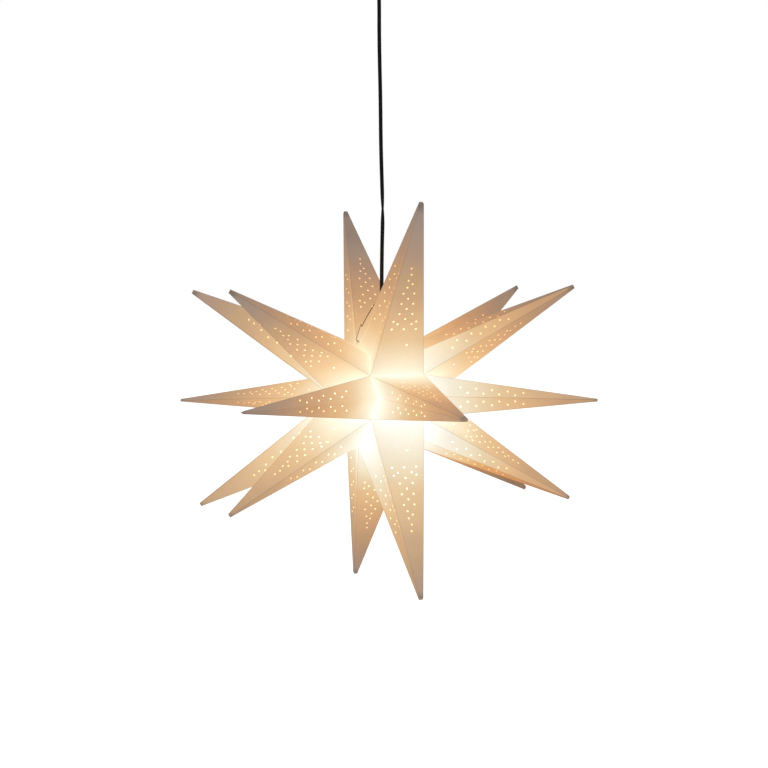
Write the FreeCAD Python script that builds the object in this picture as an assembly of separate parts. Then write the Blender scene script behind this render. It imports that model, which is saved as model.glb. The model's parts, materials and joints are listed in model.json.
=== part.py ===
import FreeCAD, Part
import math
import os

# A pendant star for a ceiling: eighteen hollow points of translucent sheet round a six-sided body,
# hung by a flat flex from a hook plate that a ceiling cup hides. Millimetres, +Z up, and the origin
# is the middle of the hook plate's ceiling face. The front of the star looks along -Y.

V = FreeCAD.Vector
UP = V(0, 0, 1)

# ---- how round pieces are drawn: flats round a piece, and straight steps along a curve ----
round_sides = 24
wide_sides = 36              # cup and hook plate
wire_sides = 8
screw_sides = 10
bow_steps = 3
bell_steps = 7
bend_steps = 6

# ---- star body: a six-sided prism lying along X, with a low six-sided cap at each end ----
star_drop = 630.0            # ceiling face down to the middle of the star
body_half_width = 38.4       # middle to the end of the prism, along X
body_half_depth = 53.8       # middle to the front corners, along Y
front_half_height = 29.5     # middle to the front corners, along Z
body_half_height = 69.3      # middle to the top and bottom edges
cap_reach = 73.9             # middle to where the six cap triangles meet, along X

# ---- the points: reach of each tip from the middle, as (out along X, out along Y, up) ----
front_tip = (0.0, 300.0, -17.3)
upper_tip = (0.0, 155.2, 256.3)
lower_tip = (0.0, 134.7, -263.1)
side_tip = (246.1, 160.6, -7.1)
side_upper_tip = (242.1, 97.1, 145.9)
side_lower_tip = (242.2, 76.1, -146.8)

sheet = 0.8                  # thickness of the plastic sheet
valley_in = 8.0              # middle of each side valley, inwards along X from its two corners
valley_rise = 7.0            # and outwards from the middle of the star
seam_gap = 0.1               # between the welded flanges of two neighbouring points
flange_width = 5.0           # flange turned inwards along each edge of a point's base
tip_share = 0.065            # width of the blunt tip as a share of the base
tip_weld = 7.0               # length of solid weld at the tip
rim_width = 1.3              # weld that stands out along a welded ridge
rim_thickness = 0.9
rim_start = 14.0             # bare ridge between the base corner and the weld

# ---- closing flaps at the two ends of the top seam ----
flap_length = 74.0
flap_reach = 5.5             # how far the flap stands past its ridge
flap_step = 3.5              # extra reach of the hooked lower part
flap_step_at = 30.0          # from the base corner to the hook's step
flap_root = 7.0              # strip of the flap that is welded on the point
flap_sheet = 0.6
flap_lift = 0.05             # weld film between the flap and the point

# ---- flat two-core flex ----
flex_width = 5.4
flex_thickness = 3.2
core_radius = 1.1
flex_clearance = 0.3         # in slots and bores that only guide the flex

# ---- lampholder, from its shoulder down ----
holder_height = 51.0
holder_radius = 14.0
holder_wall = 1.8
cap_height = 24.0
cap_lap = 6.0                # cap over the top of the holder's skirt
lip_height = 2.0
socket_radius = 6.95         # inside of the screw shell
socket_wall = 0.5
socket_depth = 19.0
insert_roof = 5.0
fit = 0.1                    # clearance between nested holder pieces
ring_height = 7.0            # shade ring on the skirt
ring_thickness = 3.2
ring_ribs = 16
ring_rib_depth = 0.9
gland_radius = 4.9
gland_height = 11.0
gland_flange = 2.0
nut_flats = 14.0
nut_height = 3.6
plate_length = 60.0          # hanger plate under the star's top seam
plate_width = 30.0
plate_thickness = 1.5
plate_corner = 9.0
top_notch_radius = 9.5       # hole in the top seam for the gland and its nut

# ---- small globe bulb ----
bulb_radius = 22.5
bulb_length = 79.0
bulb_cap_radius = 6.85
bulb_neck_radius = 8.8
bulb_collar_height = 27.0
bulb_tip_radius = 3.2
bulb_tip_height = 1.6
bulb_shell = 1.2

# ---- ceiling fitting ----
plate_radius = 28.0
ceiling_plate_thickness = 3.0
screw_spacing = 40.0
screw_hole_radius = 2.25
countersink_radius = 4.3
hook_wire = 2.0              # radius of the hook's wire
hook_bend = 9.0              # radius of the hook's bend, at the wire's middle
hook_neck = 4.0              # radius of the small bend under the shank
hook_shank = 7.5             # ceiling down to the small bend
hook_seat = 0.6              # plate left whole above the hook's shank
hook_turn = 275.0            # degrees of the hook's round, so that its mouth stays open
hook_nut_flats = 8.0
hook_nut_height = 3.2
link_radius = 9.0            # hanging ring
link_wire = 1.25
link_play = 0.3              # between two pieces that hang in each other
clamp_width = 20.0           # along Y
clamp_depth = 12.0           # along X
clamp_height = 19.0
clamp_split = 1.5            # joint between the clamp's body and cover, from the middle
eye_radius = 3.0
eye_edge = 4.0
eye_thickness = 3.0
clamp_screw_radius = 1.3
clamp_screw_head = 2.3
tail_rise = 5.0              # straight part of the flex in the clamp
tail_bend = 8.0
tail_reach = 6.0             # level part of the flex out of the clamp
tail_lift = 4.0
terminal_width = 17.0        # along X
terminal_depth = 11.0
terminal_height = 15.0
terminal_hole = 1.7
terminal_pitch = 8.4
terminal_screw = 1.5
core_lead = 5.0              # bare core between the flex's end and the terminal
cup_radius = 48.0
cup_bow = 52.0               # radius of the cup's bell
cup_bell = 62.0              # degrees of the bell's arc
cup_side = 17.0              # upright part of the cup under its rim
cup_neck = 6.3               # tapered part at the bottom
cup_neck_taper = 2.4
cup_wall = 1.2
cup_gap = 5.0                # rim of the cup down from the ceiling
bush_radius = 6.0
bush_flange = 9.0
bush_flange_height = 2.0
bush_height = 6.5            # bush under the cup's bottom
bush_bore = 3.3
bush_screw_radius = 1.5


def offset(vector, dx=0.0, dy=0.0, dz=0.0):
    return vector + V(dx, dy, dz)


def closed_face(points):
    return Part.Face(Part.makePolygon(list(points) + [points[0]]))


def strip(near, far):
    """Faces between two outlines with the same number of corners."""
    faces = []
    for i in range(len(near)):
        j = (i + 1) % len(near)
        faces.append(closed_face([near[i], near[j], far[j], far[i]]))
    return faces


def fan(points):
    """Faces from the middle of an outline, which needn't be flat, to its edges."""
    return cone(middle_of(points), points)


def cone(tip, rim):
    """Faces from one point to each edge of an outline."""
    return [closed_face([tip, point, rim[i - 1]]) for i, point in enumerate(rim)]


def flat_end(points):
    return [closed_face(points)]


def solid_of(faces):
    solid = Part.Solid(Part.Shell(faces))
    if solid.Volume < 0:
        solid.reverse()
    return solid


def solid_through(sections, cap=flat_end):
    """Closed solid through outlines with the same number of corners, flat sided between them."""
    faces = cap(sections[0]) + cap(sections[-1])
    for near, far in zip(sections, sections[1:]):
        faces.extend(strip(near, far))
    return solid_of(faces)


def swept(section, moves):
    """The sections that an outline passes through, for straight moves, each a vector, and bends, each
    (centre, axis, degrees)."""
    sections = [section]
    for move in moves:
        if isinstance(move, V):
            sections.append([point + move for point in sections[-1]])
            continue
        centre, axis, degrees = move
        steps = max(2, round(abs(degrees) / 90 * bend_steps))
        step = FreeCAD.Rotation(axis, degrees / steps)
        for _ in range(steps):
            sections.append([centre + step.multVec(point - centre) for point in sections[-1]])
    return sections


def middle_of(points):
    total = V(0, 0, 0)
    for point in points:
        total = total + point
    return total * (1.0 / len(points))


def scaled(points, about, share):
    """The polygon shrunk towards a point, to that share of its distance."""
    return [about + (point - about) * share for point in points]


def along_point(base, tip, share):
    """Cross-section of a point at a share of the way from its base to its blunt tip."""
    middle = middle_of(base)
    size = 1 - (1 - tip_share) * share
    centre = middle + (tip - middle) * share
    return [centre + (point - middle) * size for point in base]


def walls_of(near, far):
    """Outward normal of each wall between two outlines of a hollow piece."""
    middle = middle_of(near)
    normals = []
    for i, point in enumerate(near):
        along = near[(i + 1) % len(near)] - point
        normal = along.cross(far[i] - point).normalize()
        normals.append(normal if normal.dot(point - middle) > 0 else normal * -1)
    return normals


def meeting(normals, distances):
    """The point where three planes meet."""
    a, b, c = normals
    point = b.cross(c) * distances[0] + c.cross(a) * distances[1] + a.cross(b) * distances[2]
    return point * (1 / a.dot(b.cross(c)))


def pushed_in(points, normals, axes, distance):
    """The outline with each wall moved in by a distance. Each corner keeps its level on its axis."""
    corners = []
    for i, point in enumerate(points):
        planes = [normals[i - 1], normals[i], axes[i]]
        levels = [planes[0].dot(point) - distance, planes[1].dot(point) - distance, planes[2].dot(point)]
        corners.append(meeting(planes, levels))
    return corners


def polygon(radius, sides, height=0.0):
    """Corners of a level regular outline round Z, or the one point on Z where the radius is nothing."""
    if radius < 1e-6:
        return [V(0, 0, height)]
    turns = [2 * math.pi * i / sides for i in range(sides)]
    return [V(radius * math.cos(turn), radius * math.sin(turn), height) for turn in turns]


def turned(outline, centre=V(0, 0, 0), sides=round_sides, steps=bow_steps):
    """Turned piece about Z, drawn with flats. A step of the outline is (radius, height), or two such
    pairs for an arc through the first to the second."""
    profile = [V(outline[0][0], 0, outline[0][1])]
    for step in outline[1:]:
        if isinstance(step[0], tuple):
            through, end = (V(pair[0], 0, pair[1]) for pair in step)
            arc = Part.Arc(profile[-1], through, end).toShape()
            profile.extend(arc.discretize(Number=steps + 1)[1:])
        else:
            profile.append(V(step[0], 0, step[1]))
    rings = [polygon(point.x, sides, point.z) for point in profile]
    faces = []
    for near, far in zip(rings, rings[1:] + rings[:1]):
        faces.extend(turned_band(near, far))
    solid = solid_of(faces)
    solid.translate(centre)
    return solid


def turned_band(near, far):
    """Faces between two rings of a turned piece. A ring on the axis is one point."""
    if len(near) > 1 and len(far) > 1:
        return strip(near, far)
    if len(near) == len(far):
        return []
    tip, rim = (near[0], far) if len(near) == 1 else (far[0], near)
    return flat_end(rim) if abs(tip.z - rim[0].z) < 1e-6 else cone(tip, rim)


def rod(radius, start, end, sides=screw_sides):
    """Straight round bar, drawn with flats. One round Z lines up with a turned piece's flats."""
    along = (end - start).normalize()
    across = V(1, 0, 0) if abs(along.x) < 0.9 else V(0, 1, 0)
    other = along.cross(across)
    outline = []
    for spot in polygon(radius, sides):
        outline.append(start + across * spot.x + other * spot.y)
    return closed_face(outline).extrude(end - start)


def block(size, centre):
    corner = V(centre.x - size[0] / 2, centre.y - size[1] / 2, centre.z - size[2] / 2)
    return Part.makeBox(size[0], size[1], size[2], corner)


def hexagon_prism(flats, height, base):
    radius = flats / math.sqrt(3)
    points = []
    for i in range(6):
        angle = math.radians(60 * i)
        points.append(offset(base, radius * math.cos(angle), radius * math.sin(angle)))
    return closed_face(points).extrude(V(0, 0, height))


def flat_outline(centre, width, thickness):
    """Outline of the flat flex in a level plane, with rounded edges, width along X."""
    half = (width - thickness) / 2
    r = thickness / 2
    outline = []
    for side in (1, -1):
        for step in range(5):
            angle = math.radians(45 * step - 90)
            outline.append(offset(centre, side * (half + r * math.cos(angle)), side * r * math.sin(angle)))
    return outline


def flat_bar(centre, width, thickness, height):
    return closed_face(flat_outline(centre, width, thickness)).extrude(V(0, 0, height))


def group(shapes):
    return Part.makeCompound(shapes)


# ---- the star ----
star = V(0, 0, -star_drop)


def mirrored(place, side, depth):
    """A place given as (X, Y, Z) distances, on the side (-1 left, 1 right) and the depth
    (-1 front, 1 back) that is asked for."""
    return star + V(side * place[0], depth * place[1], place[2])


def corner(side, depth, level):
    """Corner of the star's body: level 1 or -1 at the front or back, depth 0 for an edge."""
    if depth == 0:
        return mirrored((body_half_width, 0, level * body_half_height), side, 1)
    return mirrored((body_half_width, body_half_depth, level * front_half_height), side, depth)


def apex(side):
    return mirrored((cap_reach, 0, 0), side, 1)


def valley(side, near, far):
    """Middle of the valley between a middle point and its side neighbour. Its ends are two corners of
    the body, each (depth, level)."""
    middle = (corner(side, *near) + corner(side, *far)) * 0.5
    outward = V(0, middle.y - star.y, middle.z - star.z).normalize()
    return middle + outward * valley_rise - V(side * valley_in, 0, 0)


def ridge_weld(base_corner, tip_corner, axis_point):
    """Thin weld that stands outwards along one ridge."""
    along = (tip_corner - base_corner).normalize()
    outward = base_corner - axis_point
    outward = (outward - along * outward.dot(along)).normalize()
    across = along.cross(outward) * (rim_thickness / 2)
    root = outward * -(sheet / 2)
    foot = base_corner + along * rim_start
    lift = foot + along * (4 * rim_width) + outward * rim_width
    crest = tip_corner + outward * (rim_width / 2)
    face = closed_face([foot + root - across, lift - across, crest - across, tip_corner + root - across])
    return face.extrude(across * 2)


def point_outline(base, tip):
    """Base of a point, clear of its neighbours', and its blunt end."""
    to_middle = [star for _ in base]
    radial = [(point - star).normalize() for point in base]
    base = pushed_in(base, walls_of(base, to_middle), radial, seam_gap / 2)
    return base, along_point(base, tip, 1)


def star_point(base, tip, welded):
    """Hollow point: thin sheet sides, a flange turned in round the open base, a solid blunt tip and a
    weld along the ridges whose corner numbers are in welded."""
    base, end = point_outline(base, tip)
    middle = middle_of(base)
    axis = (tip - middle).normalize()
    reach = (middle - star).Length
    hollow_end = along_point(base, tip, 1 - tip_weld / (tip - middle).Length)
    walls = walls_of(base, end)
    axes = [axis for _ in base]
    inner_base = pushed_in(base, walls, axes, sheet)
    inner_end = pushed_in(hollow_end, walls, axes, sheet)
    outer = solid_through([scaled(base, star, 1 - flange_width / reach), base, end], fan)
    deep = scaled(inner_base, star, 1 - 1.6 * flange_width / reach)
    point = outer.cut(solid_through([deep, inner_base, inner_end], fan))
    for i in welded:
        point = point.fuse(ridge_weld(base[i], end[i], middle))
    return point.removeSplitter()


def side_of_prism(side_a, side_b):
    """Base of a middle point, between two edges of the prism, each (depth, level)."""
    right = [corner(1, *side_a), valley(1, side_a, side_b), corner(1, *side_b)]
    left = [corner(-1, *side_b), valley(-1, side_a, side_b), corner(-1, *side_a)]
    return right + left


def top_notch(point):
    low = offset(star, 0, 0, body_half_height - 2 * flange_width)
    return point.cut(rod(top_notch_radius, low, offset(low, 0, 0, body_half_height), round_sides))


def middle_points():
    """Front, back, and the upper and lower pairs, each welded along its two side ridges."""
    points = {}
    for word, depth in (("front", -1), ("back", 1)):
        places = {
            "point_" + word: ((depth, 1), (depth, -1), front_tip),
            "point_upper_" + word: ((0, 1), (depth, 1), upper_tip),
            "point_lower_" + word: ((0, -1), (depth, -1), lower_tip),
        }
        for name, (side_a, side_b, tip) in places.items():
            points[name] = star_point(side_of_prism(side_a, side_b), mirrored(tip, 1, depth), (1, 4))
        points["point_upper_" + word] = top_notch(points["point_upper_" + word])
    return points


def side_points():
    """Six round each end of the body, each welded along the ridges to its valley and its apex."""
    points = {}
    for word, side in (("left", -1), ("right", 1)):
        for place, depth in (("front", -1), ("back", 1)):
            edges = {
                "": ((depth, 1), (depth, -1), side_tip),
                "_upper": ((0, 1), (depth, 1), side_upper_tip),
                "_lower": ((0, -1), (depth, -1), side_lower_tip),
            }
            for level, (near, far, tip) in edges.items():
                base = [corner(side, *near), valley(side, near, far), corner(side, *far), apex(side)]
                name = "point_" + word + level + "_" + place
                points[name] = star_point(base, mirrored(tip, side, depth), (1, 3))
    return points


def closing_flap(side):
    """Flap welded on the side of the upper front point, standing past its rear ridge over the top
    seam, with a hooked lower part."""
    base, end = point_outline(side_of_prism((0, 1), (-1, 1)), mirrored(upper_tip, 1, -1))
    rear, front = (5, 4) if side < 0 else (0, 1)
    foot = base[rear]
    along = (end[rear] - foot).normalize()
    facet = along.cross(base[front] - foot).normalize()
    if facet.dot(V(side, 0, 0)) < 0:
        facet = facet * -1
    outward = facet.cross(along)
    if outward.dot(base[front] - foot) > 0:
        outward = outward * -1
    lift = facet * flap_lift

    def at(up, out):
        return foot + along * up + outward * out + lift
    hook = flap_reach + flap_step
    start = at(3 * flange_width / 2, -flap_root / 2)
    edges = [
        Part.LineSegment(start, at(flange_width, flap_reach)),
        Part.LineSegment(at(flange_width, flap_reach), at(flap_step_at, hook)),
        Part.LineSegment(at(flap_step_at, hook), at(flap_step_at, flap_reach)),
        Part.Arc(at(flap_step_at, flap_reach), at((flap_length + flap_step_at) / 2, flap_reach),
                 at(flap_length, 0)),
        Part.LineSegment(at(flap_length, 0), at(flap_length, -flap_root / 2)),
        Part.LineSegment(at(flap_length, -flap_root / 2), at(flap_step_at, -flap_root)),
        Part.LineSegment(at(flap_step_at, -flap_root), start),
    ]
    face = Part.Face(Part.Wire([edge.toShape() for edge in edges]))
    return face.extrude(facet * flap_sheet)


# ---- lampholder and bulb, from the shoulder down ----
def top_seam_low():
    """Height of the lower edge of the top seam's flanges above the middle of the star."""
    run = body_half_depth
    fall = body_half_height - front_half_height
    middle = math.hypot(run / 2, (body_half_height + front_half_height) / 2)
    return body_half_height * (1 - flange_width / middle) - sheet * fall / math.hypot(run, fall)


shoulder = offset(star, 0, 0, top_seam_low() - plate_thickness - 2 * fit)
skirt_top = -(cap_height - cap_lap)
skirt_bottom = -holder_height
socket_bottom = skirt_bottom + lip_height + fit
socket_top = socket_bottom + socket_depth
plate_top = plate_thickness + fit


def holder_cap():
    r = holder_radius + fit + holder_wall
    inner = holder_radius + fit
    dome = cap_height - cap_lap
    bore = gland_radius + fit
    return turned([
        (bore, 0), (r - 6, 0), ((r - 1.6, -1.9), (r, -6.5)), (r, -cap_height), (inner, -cap_height),
        (inner, -dome + 2), (inner - 2, -dome + 2), (inner - 2, -8), (bore + 4, -holder_wall - gland_flange),
        (bore, -holder_wall - gland_flange),
    ], shoulder)


def holder_skirt():
    r = holder_radius
    inner = r - holder_wall
    lip = bulb_cap_radius + 1.2
    return turned([
        (inner, skirt_top), (r, skirt_top), (r, skirt_bottom + 1), (r - 1, skirt_bottom),
        (lip, skirt_bottom), (lip, skirt_bottom + lip_height), (inner, skirt_bottom + lip_height),
    ], shoulder)


def holder_insert():
    outer = holder_radius - holder_wall - fit
    bore = socket_radius + socket_wall + fit
    roof = socket_top + bulb_tip_height
    return turned([
        (0, roof + insert_roof), (outer, roof + insert_roof), (outer, socket_bottom),
        (bore, socket_bottom), (bore, socket_top), (bulb_tip_radius + 1.2, socket_top),
        (bulb_tip_radius + 1.2, roof), (0, roof),
    ], shoulder)


def screw_shell():
    outer = socket_radius + socket_wall
    mouth = socket_bottom
    return turned([
        (socket_radius, mouth), (outer, mouth), (outer, socket_top - fit),
        (socket_radius, socket_top - fit),
    ], shoulder)


def shade_ring():
    """Knurled ring on the skirt's thread."""
    low = skirt_bottom + 3
    inner = holder_radius + fit
    outer = inner + ring_thickness
    ring = turned([
        (inner, low), (outer - 0.8, low), (outer, low + 0.8), (outer, low + ring_height - 1.6),
        (outer + 1.4, low + ring_height - 1.2), (outer + 1.4, low + ring_height), (inner, low + ring_height),
    ], shoulder)
    for i in range(ring_ribs):
        angle = 2 * math.pi * i / ring_ribs
        spot = offset(shoulder, outer * math.cos(angle), outer * math.sin(angle), low - 1)
        ring = ring.cut(rod(ring_rib_depth, spot, offset(spot, 0, 0, ring_height - 0.8), wire_sides))
    return ring


def cord_gland():
    """Flanged bush under the cap's roof, with its threaded neck up through the hanger plate."""
    low = -holder_wall - gland_flange - fit
    slot_low = low - gland_flange - 1
    slot = flat_bar(offset(shoulder, 0, 0, slot_low), flex_width + flex_clearance,
                    flex_thickness + flex_clearance, gland_height - slot_low + 1)
    bush = turned([
        (0, gland_height), (gland_radius - 0.7, gland_height), (gland_radius, gland_height - 0.7),
        (gland_radius, low), (gland_radius + 3.4, low), (gland_radius + 3.4, low - gland_flange),
        (0, low - gland_flange),
    ], shoulder)
    return bush.cut(slot)


def gland_nut():
    base = offset(shoulder, 0, 0, plate_top + fit)
    nut = hexagon_prism(nut_flats, nut_height, base)
    hole = rod(gland_radius + fit, offset(base, 0, 0, -1), offset(base, 0, 0, nut_height + 1), round_sides)
    return nut.cut(hole)


def hanger_plate():
    """Rounded plate on the holder's shoulder that the star's top seam rests on."""
    centre = offset(shoulder, 0, 0, fit + plate_thickness / 2)
    outline = []
    for quarter in range(4):
        across = (1, -1, -1, 1)[quarter] * (plate_length / 2 - plate_corner)
        deep = (1, 1, -1, -1)[quarter] * (plate_width / 2 - plate_corner)
        for step in range(bow_steps + 1):
            angle = math.pi / 2 * (quarter + step / bow_steps)
            outline.append(offset(centre, across + plate_corner * math.cos(angle),
                                  deep + plate_corner * math.sin(angle), -plate_thickness / 2))
    plate = closed_face(outline).extrude(V(0, 0, plate_thickness))
    hole = rod(gland_radius + fit, offset(shoulder, 0, 0, -fit), offset(centre, 0, 0, 5), round_sides)
    return plate.cut(hole)


def bulb_parts():
    """Screw cap, tip contact, collar and globe. The cap's top is under the socket's roof."""
    top = socket_top - fit
    foot = skirt_bottom - fit
    low = top + bulb_tip_height - bulb_length
    centre = low + bulb_radius
    rim = foot - bulb_collar_height
    rim_radius = math.sqrt(bulb_radius ** 2 - (rim - centre) ** 2)
    inner = math.sqrt((bulb_radius - bulb_shell) ** 2 - (rim - centre) ** 2)
    cap = turned([(0, foot), (bulb_cap_radius, foot), (bulb_cap_radius, top - 3), (5.2, top), (0, top)], shoulder)
    tip = turned([
        (0, top), (bulb_tip_radius, top), (bulb_tip_radius / 2, top + bulb_tip_height - fit),
        (0, top + bulb_tip_height - fit),
    ], shoulder)
    collar = turned([
        (0, foot), (bulb_neck_radius, foot),
        ((0.52 * rim_radius + 0.48 * bulb_neck_radius + 1.2, (foot + rim) / 2), (rim_radius, rim)),
        (0, rim),
    ], shoulder)
    globe = globe_shell(rim, rim_radius, inner, centre, low)
    return {"bulb_screw_cap": cap, "bulb_tip_contact": tip, "bulb_collar": collar, "bulb_globe": globe}


def globe_shell(rim, rim_radius, inner, centre, low):
    """Thin globe, open where the collar closes it."""
    def halfway(radius, start_radius):
        start = math.atan2(rim - centre, start_radius)
        angle = (start - math.pi / 2) / 2
        return (radius * math.cos(angle), centre + radius * math.sin(angle))
    outer_arc = (halfway(bulb_radius, rim_radius), (0, low))
    inner_arc = (halfway(bulb_radius - bulb_shell, inner), (inner, rim))
    return turned([(rim_radius, rim), outer_arc, (0, low + bulb_shell), inner_arc], shoulder, steps=bell_steps)


# ---- ceiling fitting, from the ceiling down ----
def ceiling_plate():
    plate = turned([
        (0, 0), (plate_radius, 0), (plate_radius, -ceiling_plate_thickness + 1),
        (plate_radius - 1, -ceiling_plate_thickness), (0, -ceiling_plate_thickness),
    ], sides=wide_sides)
    sink = countersink_radius - screw_hole_radius
    low = -ceiling_plate_thickness
    for side in (-1, 1):
        spot = V(side * screw_spacing / 2, 0, low - 1)
        plate = plate.cut(Part.makeCylinder(screw_hole_radius, ceiling_plate_thickness + 2, spot))
        plate = plate.cut(Part.makeCone(countersink_radius, screw_hole_radius, sink, offset(spot, 0, 0, 1)))
    return plate.cut(rod(hook_wire + fit / 2, V(0, 0, low - 1), V(0, 0, -hook_seat), wire_sides))


neck_run = math.sqrt(hook_bend ** 2 + 2 * hook_neck * hook_bend)
bend_centre = V(0, 0, -hook_shank - neck_run)


def around(centre, radius, degrees):
    """Point on a circle in the plane of Y and Z; 0 degrees is +Y and 90 is up."""
    angle = math.radians(degrees)
    return offset(centre, 0, radius * math.cos(angle), radius * math.sin(angle))


def ceiling_hook():
    """Hook wire: up into the plate, a small bend back, then the round of the hook."""
    small = V(0, -hook_neck, -hook_shank)
    top = -hook_seat - fit
    neck_turn = -math.degrees(math.atan2(neck_run, hook_neck))
    sections = swept(polygon(hook_wire, wire_sides, top), [
        V(0, 0, -hook_shank - top),
        (small, V(1, 0, 0), neck_turn),
        (bend_centre, V(1, 0, 0), hook_turn),
    ])
    end = sections[-1]
    onward = (middle_of(end) - middle_of(sections[-2])).normalize()
    sections.append([point + onward * (hook_wire / 2) for point in scaled(end, middle_of(end), 0.6)])
    return solid_through(sections)


def hook_nut():
    base = V(0, 0, -ceiling_plate_thickness - hook_nut_height)
    nut = hexagon_prism(hook_nut_flats, hook_nut_height, base)
    hole = rod(hook_wire + fit / 2, offset(base, 0, 0, -1), offset(base, 0, 0, hook_nut_height + 1), wire_sides)
    return nut.cut(hole)


wire_top = bend_centre.z - hook_bend + hook_wire
link_centre = V(0, 0, wire_top + link_play - link_radius + link_wire)
link_low = link_centre.z - link_radius
eye_centre = V(0, 0, link_low + link_wire + link_play - eye_radius)
clamp_top = eye_centre.z - eye_radius - clamp_split
clamp_low = clamp_top - clamp_height


def hanging_ring():
    wire = polygon(link_wire, wire_sides)
    ring = turned([(link_radius + spot.x, spot.y) for spot in wire])
    ring.rotate(V(0, 0, 0), V(1, 0, 0), 90)
    ring.translate(link_centre)
    return ring


tail_low = V(0, 0, clamp_low)
tail_turn = offset(tail_low, 0, tail_bend, tail_rise)
tail_lift_turn = offset(tail_turn, 0, tail_reach, 2 * tail_bend)
tail_end = offset(tail_lift_turn, 0, tail_bend, tail_lift)


def flat_sweep(growth):
    """The flat flex, or its channel, through the clamp, out of its side and up to the terminal."""
    outline = flat_outline(tail_low, flex_width + growth, flex_thickness + growth)
    return solid_through(swept(outline, [
        V(0, 0, tail_rise),
        (tail_turn, V(1, 0, 0), -90),
        V(0, tail_reach, 0),
        (tail_lift_turn, V(1, 0, 0), 90),
        V(0, 0, tail_lift),
    ]))


def flex_tail():
    return flat_sweep(0.0)


def clamp_screw_spots():
    middle = (clamp_top + clamp_low) / 2
    return [(-clamp_width / 4 - 1, middle + 4), (clamp_width / 4 + 1, clamp_low + 4)]


def cord_clamp():
    """The clamp's body with its eye, and the cover that presses the flex into it."""
    half = clamp_depth / 2
    middle = (clamp_top + clamp_low) / 2
    body = block((half + clamp_split, clamp_width, clamp_height), V((clamp_split - half) / 2, 0, middle))
    cover_depth = half - clamp_split - fit
    cover = block((cover_depth, clamp_width, clamp_height), V(half - cover_depth / 2, 0, middle))
    outer = eye_radius + eye_edge
    ear = rod(outer, offset(eye_centre, -eye_thickness / 2), offset(eye_centre, eye_thickness / 2), round_sides)
    ear_foot = block((eye_thickness, 2 * outer, outer), V(0, 0, eye_centre.z - outer / 2))
    body = body.fuse(ear.fuse(ear_foot)).removeSplitter()
    body = body.cut(rod(eye_radius, offset(eye_centre, -half), offset(eye_centre, half), round_sides))
    channel = flat_sweep(fit)
    body = body.cut(channel)
    cover = cover.cut(channel)
    for y, z in clamp_screw_spots():
        hole = rod(clamp_screw_radius + fit / 2, V(-clamp_depth, y, z), V(clamp_depth, y, z))
        body = body.cut(hole)
        cover = cover.cut(hole)
    return body, cover


def clamp_screws():
    half = clamp_depth / 2
    screws = []
    for y, z in clamp_screw_spots():
        shank = rod(clamp_screw_radius, V(-half + 1, y, z), V(half, y, z))
        head = rod(clamp_screw_head, V(half, y, z), V(half + 1.3, y, z))
        screws.append(shank.fuse(head).removeSplitter())
    return group(screws)


terminal_base = offset(tail_end, 0, 0, core_lead)


def terminal_block():
    base = terminal_base
    centre = offset(base, 0, 0, terminal_height / 2)
    body = block((terminal_width, terminal_depth, terminal_height), centre)
    waist = block((2 * fit + 1, terminal_depth + 2, terminal_height / 3), centre)
    body = body.cut(waist)
    for side in (-1, 1):
        spot = offset(base, side * terminal_pitch / 2, 0, -1)
        body = body.cut(rod(terminal_hole, spot, offset(spot, 0, 0, terminal_height + 2)))
        for level in (0.25, 0.75):
            start = offset(base, side * terminal_pitch / 2, 0, terminal_height * level)
            body = body.cut(rod(terminal_screw + fit / 2, start, offset(start, 0, terminal_depth)))
    return body


def terminal_screws():
    base = terminal_base
    screws = []
    for side in (-1, 1):
        for level in (0.25, 0.75):
            start = offset(base, side * terminal_pitch / 2, core_radius + fit, terminal_height * level)
            length = terminal_depth / 2 - core_radius - 1
            screws.append(rod(terminal_screw, start, offset(start, 0, length)))
    return group(screws)


def mains_cores():
    """Two insulated cores from the flex's end into the terminal's lower holes."""
    cores = []
    for side in (-1, 1):
        foot = offset(tail_end, side * (core_radius + fit))
        spread = side * (terminal_pitch / 2 - core_radius - fit)
        round_core = [foot + spot for spot in polygon(core_radius, wire_sides)]
        cores.append(solid_through(swept(round_core, [
            V(0, 0, core_radius),
            V(spread, 0, core_lead - 1 - core_radius),
            V(0, 0, terminal_height / 3),
        ])))
    return group(cores)


cup_rim = -cup_gap
bell_centre = (cup_radius - cup_bow, cup_rim - cup_side)


def on_bell(radius, share):
    angle = math.radians(-cup_bell * share)
    return (bell_centre[0] + radius * math.cos(angle), bell_centre[1] + radius * math.sin(angle))


cup_foot = on_bell(cup_bow, 1)
cup_bottom = cup_foot[1] - cup_neck


def ceiling_cup():
    """Thin bell, open at the top, with a beaded rim and a hole for the bush."""
    inner = cup_bow - cup_wall
    inner_foot = on_bell(inner, 1)
    hole = bush_radius + fit
    return turned([
        (cup_radius - cup_wall, cup_rim), (cup_radius + 0.6, cup_rim), (cup_radius + 0.6, cup_rim - 1.6),
        (cup_radius, cup_rim - 2.2), (cup_radius, cup_rim - cup_side), (on_bell(cup_bow, 0.5), cup_foot),
        (cup_foot[0] - cup_neck_taper, cup_bottom + 1), (cup_foot[0] - cup_neck_taper - 1, cup_bottom),
        (hole, cup_bottom), (hole, cup_bottom + cup_wall),
        (inner_foot[0] - cup_neck_taper - 0.6, cup_bottom + cup_wall), inner_foot,
        (on_bell(inner, 0.5), (cup_radius - cup_wall, cup_rim - cup_side)),
    ], sides=wide_sides)


def cup_bush():
    low = cup_bottom - bush_height
    top = cup_bottom + cup_wall + fit
    bush = turned([
        (bush_bore + 0.8, low), (bush_radius - 0.6, low), (bush_radius, low + 0.6),
        (bush_radius, top), (bush_flange, top), (bush_flange, top + bush_flange_height),
        (bush_bore, top + bush_flange_height), (bush_bore, low + 0.8),
    ])
    spot = V(0, 0, cup_bottom - bush_height / 2)
    return bush.cut(rod(bush_screw_radius + fit / 2, spot, offset(spot, 0, 2 * bush_radius)))


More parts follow.
